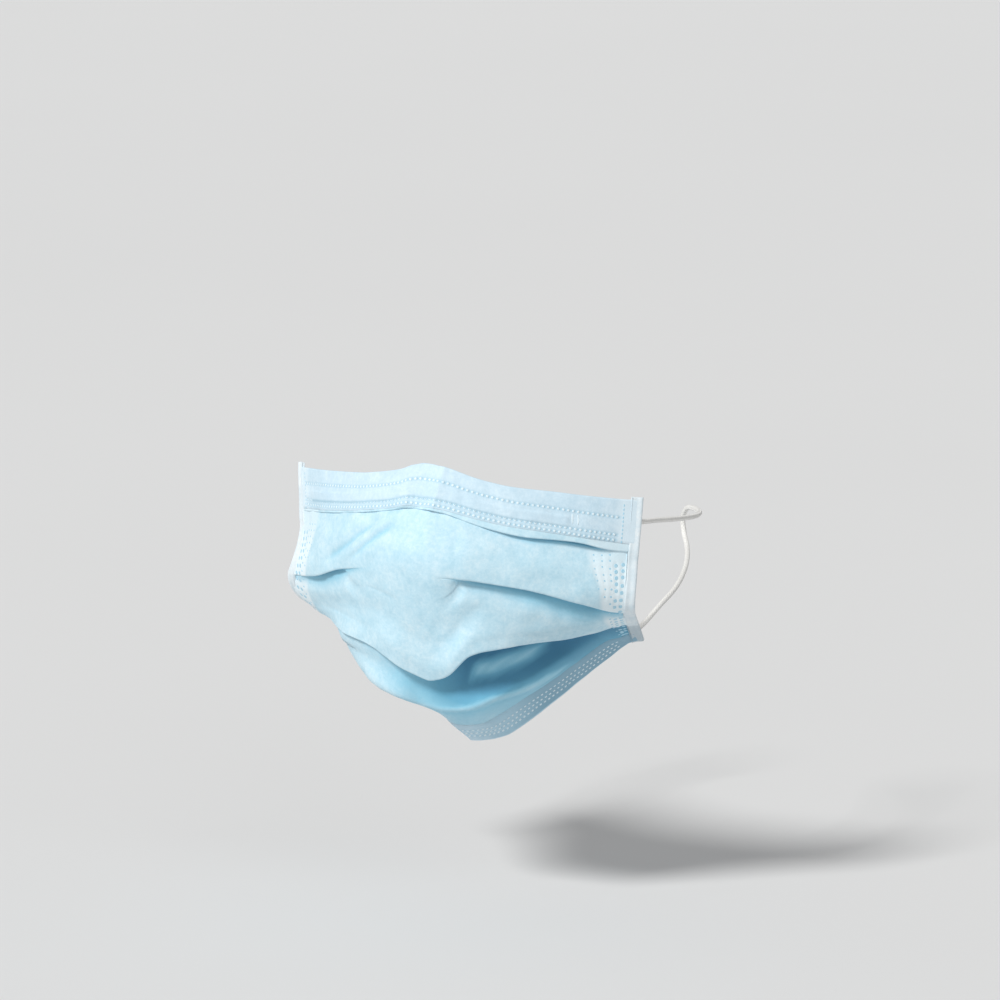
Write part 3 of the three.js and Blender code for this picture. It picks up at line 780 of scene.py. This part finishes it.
def ear_loop(name, side, material):
    """One elastic from its upper weld round the back of the head to its lower weld."""
    route = LOOP_ROUTE if side > 0 else LOOP_ROUTE[:-3] + LOOP_FOOT_RIGHT
    route = np.array(route) * [side, 1, 1]
    line = by_share(through(route), np.linspace(0, 1, LOOP_RINGS))
    along = lengths(line)
    tangent = unit(np.gradient(line, axis=0))
    ring = [unit(np.cross(tangent[0], [0.0, 0.0, 1.0]))]
    for t in tangent[1:]:
        ring.append(unit(ring[-1] - t * np.dot(ring[-1], t)))
    first = np.array(ring)
    second = np.cross(tangent, first)
    turns = np.linspace(0, 2 * math.pi, LOOP_SIDES, endpoint=False)
    # each stitch stands out a little, on two threads that wind round in opposite ways
    lay = np.abs(np.sin(turns[None, :] * 2 + along[:, None] * 2.2))
    cross = np.abs(np.sin(turns[None, :] * 2 - along[:, None] * 2.2))
    radius = LOOP_DIAMETER / 2 * (0.95 + 0.05 * np.maximum(lay, cross))
    offset = (first[:, None] * (np.cos(turns)[None, :] * radius)[..., None]
              + second[:, None] * (np.sin(turns)[None, :] * radius)[..., None])
    # the welded ends are pressed flat and wide, with fine cross ridges from the horn
    for out, gap in zip(LOOP_WELD_OUT, (along, along[-1] - along)):
        out = unit(np.array(out) * [side, 1, 1])
        across = unit(np.cross(tangent, out))
        flat = (1 - smooth((gap - LOOP_WELD_LENGTH + 2) / 2))[:, None]
        ridge = 0.06 * np.sin(gap * 2 * math.pi / 0.9)[:, None]
        high = offset @ out
        wide = np.einsum("ijk,ik->ij", offset, across)
        offset = (offset - (high * (0.62 - ridge) * flat)[..., None] * out
                  + (wide * 0.45 * flat)[..., None] * across[:, None])
    rings = line[:, None] + offset
    faces = [[i + j, i + (j + 1) % LOOP_SIDES, i + LOOP_SIDES + (j + 1) % LOOP_SIDES,
              i + LOOP_SIDES + j]
             for i in range(0, (LOOP_RINGS - 1) * LOOP_SIDES, LOOP_SIDES)
             for j in range(LOOP_SIDES)]
    faces.append(list(range(LOOP_SIDES))[::-1])
    faces.append(list(range((LOOP_RINGS - 1) * LOOP_SIDES, LOOP_RINGS * LOOP_SIDES)))
    uv = np.stack(np.broadcast_arrays(along[:, None], turns[None, :] * LOOP_DIAMETER / 2),
                  axis=-1)
    made = object_from(name + "_elastic", rings.reshape(-1, 3), faces, uv.reshape(-1, 2),
                       material)
    settle(made, name)


ELASTIC = knitted_elastic("knitted_elastic_white")
ear_loop("ear_loop_left", 1, ELASTIC)
ear_loop("ear_loop_right", -1, ELASTIC)

# ---------------------------------------------------------------- plies
# the last pair of colours of each cloth is painted shade
BLUE = spunbond("spunbond_polypropylene_blue", "#C2E2F0", "#B5DAEA", "#D0EAF5", "#E4F3FA",
                ("#80C7E2", "#27658F"))
WHITE = spunbond("spunbond_polypropylene_white", "#EEF1F3", "#E6EAED", "#F4F6F7", "#F6F8F8",
                 ("#D9E2E8", "#C4D0D8"))
PALE = spunbond("spunbond_polypropylene_pale", "#C9E1EF", "#C1DBEA", "#D3E8F4", "#DEEEF7",
                ("#A5CCDF", "#55809B"))
BINDING = spunbond("spunbond_polypropylene_binding", "#DCE9F0", "#D2E2EA", "#E8F0F4", "#EEF3F5",
                   ("#A3B4BE", "#7F919C"))
WELD = fused_spots("fused_polypropylene_blue", "#B4DCEE", "#A6D3E8")
PALE_WELD = fused_spots("fused_polypropylene_pale", "#E4F2F9", "#D6EAF4")
WIRE = coated_wire("polyethylene_coated_wire")

# faces of the two plies, out from the middle of the cloth
OUTER_FACE = 0.22
PLY_FACE = 0.04
INNER_FACE = -0.16

# Welds beside each side edge: distance from the edge, first and last height down the folded
# side, width across and down. They go through all the plies at a 2.75 mm pitch.
WELD_PITCH = 2.75
SIDE_WELDS = [
    (16.7, 23.0, 37.0, 0.85, 0.8),
    (13.8, 23.0, 42.0, 0.95, 0.85),
    (10.9, 23.0, 92.0, 1.0, 0.9),
    (8.3, 27.0, 92.0, 1.75, 1.75),
    (5.6, 27.0, 92.0, 1.75, 1.75),
]
# stretches of the unfolded cloth that show on the front of the folded side
FRONT_STRETCHES = ((2, 22), (46.5, 69), (93.5, 116), (140.5, CLOTH - 1))
FRONT_ROWS = np.any([(ROWS > first) & (ROWS < last) for first, last in FRONT_STRETCHES], axis=0)


def side_spots(cloth, side):
    """Places of the side welds on the front of the cloth: column, row and size of each."""
    spots = []
    rows = np.where(FRONT_ROWS)[0]
    for inward, first, last, wide, tall in SIDE_WELDS:
        column = np.argmin(np.abs(cloth["x"] - side * (HALF - inward)))
        shares = cloth["share"][column][rows]
        for height in np.arange(first, last, WELD_PITCH):
            gap = np.abs(shares - height / FOLDED_HEIGHT)
            if gap.min() < 0.006:
                spots.append((column, rows[np.argmin(gap)], wide, tall))
    return spots


WELD_PIT = 0.28


def pits(cloth, spots):
    """How far the cloth is pressed in round each weld."""
    depth = np.zeros(cloth["points"].shape[:2])
    for column, row, wide, _ in spots:
        near = slice(max(column - 8, 0), column + 9), slice(max(row - 6, 0), row + 7)
        away = cloth["points"][near] - cloth["points"][column, row]
        gap = np.linalg.norm(away, axis=-1)
        pit = WELD_PIT * np.exp(-(gap / (0.55 * max(wide, 1.2))) ** 4)
        depth[near] = np.maximum(depth[near], pit)
    return depth


def puff(cloth):
    """Where the cloth is fluffed up: between the welds, most of all down the cheek. The
    fluffed strip narrows from 20.5 mm at its top to 13.3 mm."""
    inward = HALF - np.abs(cloth["x"])[:, None]
    height = cloth["share"] * FOLDED_HEIGHT
    reach = 20.5 - 0.2 * np.clip(height - 24, 0, 36)
    side = smooth((reach - inward) / 3.0)
    return (side * (0.55 + 0.45 * smooth((height - 20) / 14))
            * (1 - 0.35 * smooth((height - 60) / 8)))


# Painted shade below a fold's lip, as (fold, strength by distance from the middle, how far
# below the lip it reaches by distance from the middle).
PAINTED_SHADE = [
    (0, [(-90, 0), (36, 0), (50, 0.45), (60, 0.55), (66, 0.65), (74, 0.65), (79, 0), (90, 0)],
     [(-90, 1.5), (36, 2.0), (50, 3.5), (66, 2.5), (90, 2.0)]),
    (1, [(-90, 0.3), (-80, 0.4), (-66, 0.5), (-50, 0.55), (-40, 0.45), (-28, 0), (16, 0),
         (22, 0.45), (30, 0.56), (60, 0.58), (74, 0.6), (84, 0.6), (90, 0.4)],
     [(-90, 2.5), (-60, 5.5), (-48, 6.0), (-36, 3.0), (18, 3.0), (25, 5.5), (45, 7.0), (60, 8.5),
      (68, 10.0), (76, 6.0), (90, 5.0)]),
    (2, [(-90, 0.5), (-70, 0.3), (-50, 0.25), (-30, 0.25), (-5, 0.3), (8, 0.4), (14, 0.7),
         (20, 0.8), (60, 0.85), (90, 0.8)],
     [(-90, 4.0), (-50, 4.0), (-20, 6.0), (0, 7.0), (10, 8.0), (20, 11.0), (60, 10.0),
      (90, 8.0)]),
    (2, [(-90, 0), (-40, 0), (-24, 0.2), (-12, 0.45), (0, 0.6), (10, 0.75), (20, 0.88),
         (70, 0.9), (90, 0.7)],
     [(-90, 9.0), (-30, 18.0), (-12, 28.0), (0, 36.0), (14, 48.0), (30, 66.0), (60, 66.0),
      (90, 40.0)]),
]


def tuck(cloth):
    """Painted shade below each fold's lip, by its distance down from the lip."""
    total = np.zeros_like(cloth["share"])
    for k, strength, reach in PAINTED_SHADE:
        edge = FOLD_EDGES[k]
        lip = np.argmin(np.abs(ROWS - edge))
        below = cloth["height"] - cloth["height"][:, lip:lip + 1]
        reach = by_distance(reach, cloth["x"])[:, None]
        painted_darkening = smooth(1.15 - below / reach) * np.where(ROWS > edge + 0.2, 1.0, 0.0)
        total = np.maximum(total, painted_darkening * by_distance(strength, cloth["x"])[:, None])
    # painted highlight on crease crests, which lose shade, and painted shade in crease valleys
    folded = creases(cloth["x"][:, None], ROWS[None, :])
    painted_crest_light = np.clip((folded - 0.35) / 0.6, 0, 1)
    return np.maximum(total * (1 - 0.6 * painted_crest_light),
                      np.clip(-0.35 * folded - 0.1, 0, 0.45))


# columns are 1.2 mm apart, and 0.6 mm among the side welds
columns = np.concatenate([np.linspace(-90, -70, 34)[:-1], np.linspace(-70, 70, 117),
                          np.linspace(70, 90, 34)[1:]])
cloth = lay_cloth(columns)
welds = {side: side_spots(cloth, side) for side in (1, -1)}
pressed = pits(cloth, welds[1] + welds[-1])
puffed_up = puff(cloth)
tucked_in = tuck(cloth)


def ply(name, node_name, front, back, press, material):
    """One ply between two faces, pressed in at the welds by a share of their depth."""
    points, normal = cloth["points"], cloth["normal"]
    uv = np.stack([cloth["arc"], cloth["gone"]], axis=-1)
    sink = pressed[..., None] * press
    made = wall(name, points + normal * (front - sink), points + normal * (back - sink), uv,
                material, puffed=puffed_up, tucked=tucked_in)
    settle(made, node_name)


ply("outer_cloth", "outer_ply", OUTER_FACE, PLY_FACE, 1.0, BLUE)
ply("inner_cloth", "inner_ply", -PLY_FACE, INNER_FACE, 0.3, WHITE)

# ---------------------------------------------------------------- hems and nose wire
hem_columns = np.linspace(-90, 90, 381)
hem_cloth = lay_cloth(hem_columns)
HEM_WALL = 0.14
HEM_GAP = 0.14
HEM_FACE = OUTER_FACE + HEM_GAP + HEM_WALL
BEAD_PITCH = 2.1
BEAD_HEIGHT = 0.10


def near_welds(arc, rows, weld_rows, reach):
    """How near the cloth of a hem is to its rows of welds, from 0 to 1. The rows stop 9 mm
    from the ends."""
    inside = smooth(arc.max() - 9 - np.abs(arc))
    return inside * sum(np.exp(-((rows - by_distance(knots, hem_columns)[:, None]) / reach) ** 2)
                        for knots in weld_rows)


def hem(name, node_name, front_rows, edge_row, way, lift, weld_rows, painted_darkening):
    """A strip turned over an edge: up or down the front, round, and down or up the back."""
    front_p, front_n, _, front_arc = at_rows(hem_cloth, front_rows)
    edge_p, edge_n, edge_d, edge_arc = at_rows(hem_cloth, np.array([edge_row]))
    back_rows = edge_row - way * np.linspace(0.3, BACK_LEG, 6)
    back_p, back_n, _, back_arc = at_rows(hem_cloth, back_rows)
    reach = [0.0, 0.35, 0.5, 0.35, 0.0]
    tilt = [1.0, 0.7, 0.0, -0.7, -1.0]
    # each row of round welds presses the strip down in a groove, with a bead at each weld
    sealed = np.abs(front_rows - front_rows[0]) < 0.6
    bead = BEAD_HEIGHT * (np.cos(2 * math.pi * front_arc / BEAD_PITCH) - 1)
    lift = np.where(sealed[None, :], -HEM_GAP - HEM_WALL + 0.03,
                    lift + near_welds(front_arc, front_rows, weld_rows, 0.75) * bead)
    # painted shade along each row of welds, in the groove they press, drawn a deeper blue
    tucked = np.zeros((len(hem_columns), len(front_rows) + len(reach) + len(back_rows)))
    tucked[:, :len(front_rows)] = np.maximum(
        0.5 * near_welds(front_arc, front_rows, weld_rows, 0.7),
        by_distance(painted_darkening, hem_columns)[:, None])
    faces = []
    for thick in (HEM_WALL, 0.0):
        high = OUTER_FACE + HEM_GAP + thick
        low = INNER_FACE - HEM_GAP - thick
        mid, span = (high + low) / 2, (high - low) / 2
        line = [front_p + front_n * (high + lift)[..., None]]
        for r, a in zip(reach, tilt):
            line.append(edge_p + edge_n * (mid + a * span) + edge_d * way * (r * 0.8 + thick + 0.1))
        line.append(back_p + back_n * low)
        faces.append(np.concatenate(line, axis=1))
    arcs = np.concatenate([front_arc] + [edge_arc] * len(reach) + [back_arc], axis=1)
    gone = np.concatenate([[0.0], np.cumsum(np.linalg.norm(
        np.diff(faces[0][len(hem_columns) // 2], axis=0), axis=1))])
    uv = np.stack(np.broadcast_arrays(arcs, front_rows[0] + way * gone[None, :]), axis=-1)
    front, back = faces
    inward = HALF - np.abs(hem_columns)[:, None]
    fluffed = np.broadcast_to(0.7 * smooth((11 - inward) / 4), uv.shape[:2])
    if way < 0:
        front, back, uv, tucked = (a[:, ::-1] for a in (front, back, uv, tucked))
    made = wall(name, front, back, uv, PALE, puffed=fluffed, tucked=tucked)
    settle(made, node_name)


def wire_ridge(rows):
    """How far the hem stands off over the nose wire."""
    over = (smooth((rows - WIRE_TOP + 1.4) / 1.4)
            * smooth((WIRE_TOP + WIRE_WIDTH + 1.4 - rows) / 1.4))
    inside = (smooth((hem_columns + HALF - WIRE_RIGHT_END + 2) / 2)
              * smooth((HALF - WIRE_LEFT_END + 2 - hem_columns) / 2))
    return inside[:, None] * over[None, :] * (WIRE_THICK - 0.05)


# rows of welds: distance down the unfolded cloth by distance from the middle
TOP_WELD_ROWS = (
    [(-90, 6.2), (40, 6.0), (60, 6.6), (90, 7.4)],
    [(-90, 13.6), (-20, 14.2), (40, 14.2), (90, 14.7)],
    [(-90, 15.8), (-20, 16.5), (40, 16.5), (90, 17.0)],
)
BOTTOM_WELD_ROWS = tuple([(-90, CLOTH - up), (90, CLOTH - up)] for up in (8.2, 5.7, 3.2))
top_rows = np.linspace(TOP_HEM, 0.2, 42)
hem("top_hem_band", "top_hem", top_rows, 0.0, -1, wire_ridge(top_rows),
    TOP_WELD_ROWS, [(-90, 0.0), (90, 0.0)])
bottom_rows = np.linspace(CLOTH - BOTTOM_HEM, CLOTH - 0.2, 30)
# painted shade on the bottom hem, rising towards the wearer's left
hem("bottom_hem_band", "bottom_hem", bottom_rows, CLOTH, 1,
    np.zeros((len(hem_columns), len(bottom_rows))),
    BOTTOM_WELD_ROWS, [(-90, 0.0), (0, 0.1), (16, 0.35), (40, 0.65), (90, 0.7)])


def nose_wire():
    """The flat wire under the top band, with a crowned front."""
    rows = np.linspace(WIRE_TOP, WIRE_TOP + WIRE_WIDTH, 7)
    covered = (hem_columns > -HALF + WIRE_RIGHT_END) & (hem_columns < HALF - WIRE_LEFT_END)
    points, normal, _, arc = (a[covered] for a in at_rows(hem_cloth, rows))
    bulge = np.sqrt(np.maximum(0.0, 1 - np.linspace(-1, 1, 7) ** 2)) * (WIRE_THICK - 0.2) + 0.1
    low = OUTER_FACE + 0.05
    uv = np.stack(np.broadcast_arrays(arc, rows[None, :]), axis=-1)
    made = wall("nose_wire_strip", points + normal * (low + bulge)[None, :, None],
                points + normal * low, uv, WIRE)
    settle(made, "nose_wire")


nose_wire()

# ---------------------------------------------------------------- weld spots
BUTTON_FOOT = 0.08


def weld_button():
    """A fused spot 1 mm across, modelled once: a shallow disc whose face is inset three times,
    up to a rim and down to a sunk middle."""
    bpy.ops.object.select_all(action="DESELECT")
    bpy.ops.mesh.primitive_cylinder_add(vertices=10, radius=0.5, depth=BUTTON_FOOT,
                                        location=(0, 0, -BUTTON_FOOT / 2))
    bpy.ops.object.transform_apply(location=True)
    spot = bpy.context.object
    for polygon in spot.data.polygons:
        polygon.select = polygon.normal.z > 0.5
    bpy.context.tool_settings.mesh_select_mode = (False, False, True)
    bpy.ops.object.mode_set(mode="EDIT")
    bpy.ops.mesh.inset(thickness=0.13, depth=0.06)
    bpy.ops.mesh.inset(thickness=0.12, depth=-0.05)
    bpy.ops.mesh.inset(thickness=0.10, depth=-0.01)
    bpy.ops.object.mode_set(mode="OBJECT")
    points = np.array([v.co[:] for v in spot.data.vertices])
    faces = [list(p.vertices) for p in spot.data.polygons]
    bpy.data.objects.remove(spot)
    return points, faces


BUTTON = weld_button()


def weld_spots(name, places, material):
    """Copies of the weld button: each place is a point, directions across, down and out, and
    sizes across and down."""
    shape, shape_faces = BUTTON
    points, faces, uvs = [], [], []
    for n, (point, right, down, out, wide, tall) in enumerate(places):
        points.append(point + shape[:, :1] * wide * right - shape[:, 1:2] * tall * down
                      + shape[:, 2:] * out)
        faces += [[i + n * len(shape) for i in face] for face in shape_faces]
        uvs.append(shape[:, :2] + [n * 1.7, 0])
    settle(object_from(name, np.vstack(points), faces, np.vstack(uvs), material))


def side_places(side):
    """Places of one side's welds, in the pits of the outer cloth."""
    places = []
    for column, row, wide, tall in welds[side]:
        out, down = cloth["normal"][column, row], cloth["down"][column, row]
        spot = cloth["points"][column, row] + out * (OUTER_FACE - 0.14)
        places.append((spot, np.cross(out, down), down, out, wide, tall))
    return places


weld_spots("side_welds_left", side_places(1), WELD)
weld_spots("side_welds_right", side_places(-1), WELD)


def band_place(at, arc, points, normal, down, lift, wide, tall):
    """A place for a weld on a band, at a distance along it from the middle."""
    spot, out, along = (np.array([np.interp(at, arc, a[:, m]) for m in range(3)])
                        for a in (points, normal, down))
    return (spot + unit(out) * lift, unit(np.cross(out, along)), unit(along), unit(out), wide,
            tall)


def row_places(weld_rows):
    """Rows of round welds along a band, at an even pitch to both sides of the middle."""
    places = []
    for knots in weld_rows:
        rows = by_distance(knots, hem_columns)
        fine = np.linspace(rows.min() - 0.01, rows.max() + 0.01, 5)
        near = at_rows(hem_cloth, fine)
        part = (rows - fine[0]) / (fine[-1] - fine[0]) * 4
        k = np.clip(part.astype(int), 0, 3)
        c = np.arange(len(rows))
        w = part - k
        points, normal, down = (a[c, k] * (1 - w[:, None]) + a[c, k + 1] * w[:, None]
                                for a in near[:3])
        arc = near[3][c, k] * (1 - w) + near[3][c, k + 1] * w
        last = int((arc.max() - 10) / BEAD_PITCH)
        places += [band_place(n * BEAD_PITCH, arc, points, normal, down, HEM_FACE, 1.15, 1.0)
                   for n in range(-last, last + 1)]
    return places


def marks(rows, places_along, lift, wide, tall):
    """Welds on a band at given rows: places_along takes where a row starts and ends, and gives
    the distances along it."""
    points, normal, down, arc = at_rows(hem_cloth, np.array(rows))
    return [band_place(at, arc[:, r], points[:, r], normal[:, r], down[:, r], lift, wide, tall)
            for r in range(len(rows)) for at in places_along(arc[:, r].min(), arc[:, r].max())]


weld_spots("top_hem_welds", row_places(TOP_WELD_ROWS), PALE_WELD)
weld_spots("bottom_hem_welds", row_places(BOTTOM_WELD_ROWS), PALE_WELD)
# pairs of long welds across the band, over the wire's ends, stop it from sliding
WIRE_STOPS = marks([10.2], lambda _, end: (end - 29.2, end - 26.8, 8.2 - end, 10.2 - end),
                   HEM_FACE + 0.02, 0.9, 4.4)
# a line of short welds runs down the band beside each side binding
EDGE_LINES = marks(np.arange(2.0, 17.5, 1.7), lambda start, end: (start + 7.4, end - 7.4),
                   HEM_FACE + 0.01, 0.6, 1.15)
weld_spots("wire_stop_welds", WIRE_STOPS, PALE_WELD)
weld_spots("edge_welds", EDGE_LINES, WELD)

# ---------------------------------------------------------------- side bindings
BINDING_WALL = 0.16


def layers_at(heights):
    """How far the layers at a side edge stand out and in, within 2 mm of each height, joined
    softly from one to the next."""
    x = np.array([HALF])
    along, out = section(x)
    v = down_body(x, along)[0][0]
    fine = np.linspace(-0.1, 1.1, 300)
    near = np.abs(v - fine[:, None]) < 0.02
    high = np.where(near, BOUND_DEPTH * out, -99.0).max(axis=1)
    low = np.where(near, BOUND_DEPTH * out, 99.0).min(axis=1)
    high, low = (np.where(np.abs(a) > 50, 0.0, a) for a in (high, low))
    soft = np.hanning(21) / np.hanning(21).sum()
    high, low = (np.convolve(np.pad(a, 10, mode="edge"), soft, mode="valid") for a in (high, low))
    share = heights / FOLDED_HEIGHT
    return np.interp(share, fine, high), np.interp(share, fine, low)


def binding(name, side):
    """A strip of cloth over the front, round the side edge and back over the inner face."""
    heights = np.linspace(-BINDING_PROUD, FOLDED_HEIGHT + BINDING_PROUD, 180)
    turns = np.linspace(0, math.pi, 9)[1:-1]
    legs = np.linspace(BINDING_LEG, 1, 9)
    share = np.concatenate([legs, np.ones(len(turns)), legs[::-1]])
    past = np.concatenate([np.zeros(len(legs)), np.sin(turns), np.zeros(len(legs))])
    tilt = np.concatenate([np.ones(len(legs)), np.cos(turns), -np.ones(len(legs))])
    v = np.clip(heights / FOLDED_HEIGHT, 0, 1)
    beyond = (heights - v * FOLDED_HEIGHT)[None, :, None]
    high, low = layers_at(heights)
    s, v = np.broadcast_arrays(side * share[:, None], v[None, :])
    down, right, away = body_axes(s, v)
    spots = body(s, v) + down * beyond
    faces = []
    # the strip's inner edge is pressed down on the cloth, and its outer 2 mm stay a soft roll
    roll = smooth((share - 1) * HALF / 2.4 + 1)[:, None]
    sunk = 0.9 * smooth((BINDING_LEG - share) * HALF / 0.5 + 1)[:, None]
    for thick in (BINDING_WALL, 0.0):
        puff_up = (0.04 + 0.42 * roll - sunk) + thick
        up = high + OUTER_FACE + puff_up
        back = low + INNER_FACE - puff_up
        lift = (up + back) / 2 + tilt[:, None] * (up - back) / 2
        faces.append(spots + away * lift[..., None]
                     + right * (side * past * (0.7 + thick))[:, None, None])
    gone = np.concatenate([[0.0], np.cumsum(np.linalg.norm(
        np.diff(faces[0][:, len(heights) // 2], axis=0), axis=1))])
    uv = np.stack(np.broadcast_arrays(gone[:, None], heights[None, :]), axis=-1)
    front, back = faces
    if side < 0:
        front, back, uv = front[::-1], back[::-1], uv[::-1]
    # painted shade below the cheek, where the strip is turned under
    binding_painted_shade = smooth((heights - 62) / 14) * 0.4
    made = wall(name + "_strip", front, back, uv, BINDING,
                tucked=np.broadcast_to(binding_painted_shade[None, :], uv.shape[:2]))
    settle(made, name)


binding("side_binding_left", 1)
binding("side_binding_right", -1)

# ---------------------------------------------------------------- floor and backdrop
bpy.ops.object.select_all(action="DESELECT")
bpy.ops.mesh.primitive_plane_add(size=1, location=(0, 0, FLOOR_LEVEL))
floor = bpy.context.object
floor.name = "floor"
floor.scale = (FLOOR_SIZE, FLOOR_SIZE, 1)
floor.data.materials.append(matt_paper("background_paper"))

world = bpy.data.worlds.new("studio")
bpy.context.scene.world = world
world.use_nodes = True
world.node_tree.nodes["Background"].inputs["Color"].default_value = linear("#FFFFFF")
world.node_tree.nodes["Background"].inputs["Strength"].default_value = ROOM_LIGHT
bpy.context.scene.view_settings.view_transform = "Standard"
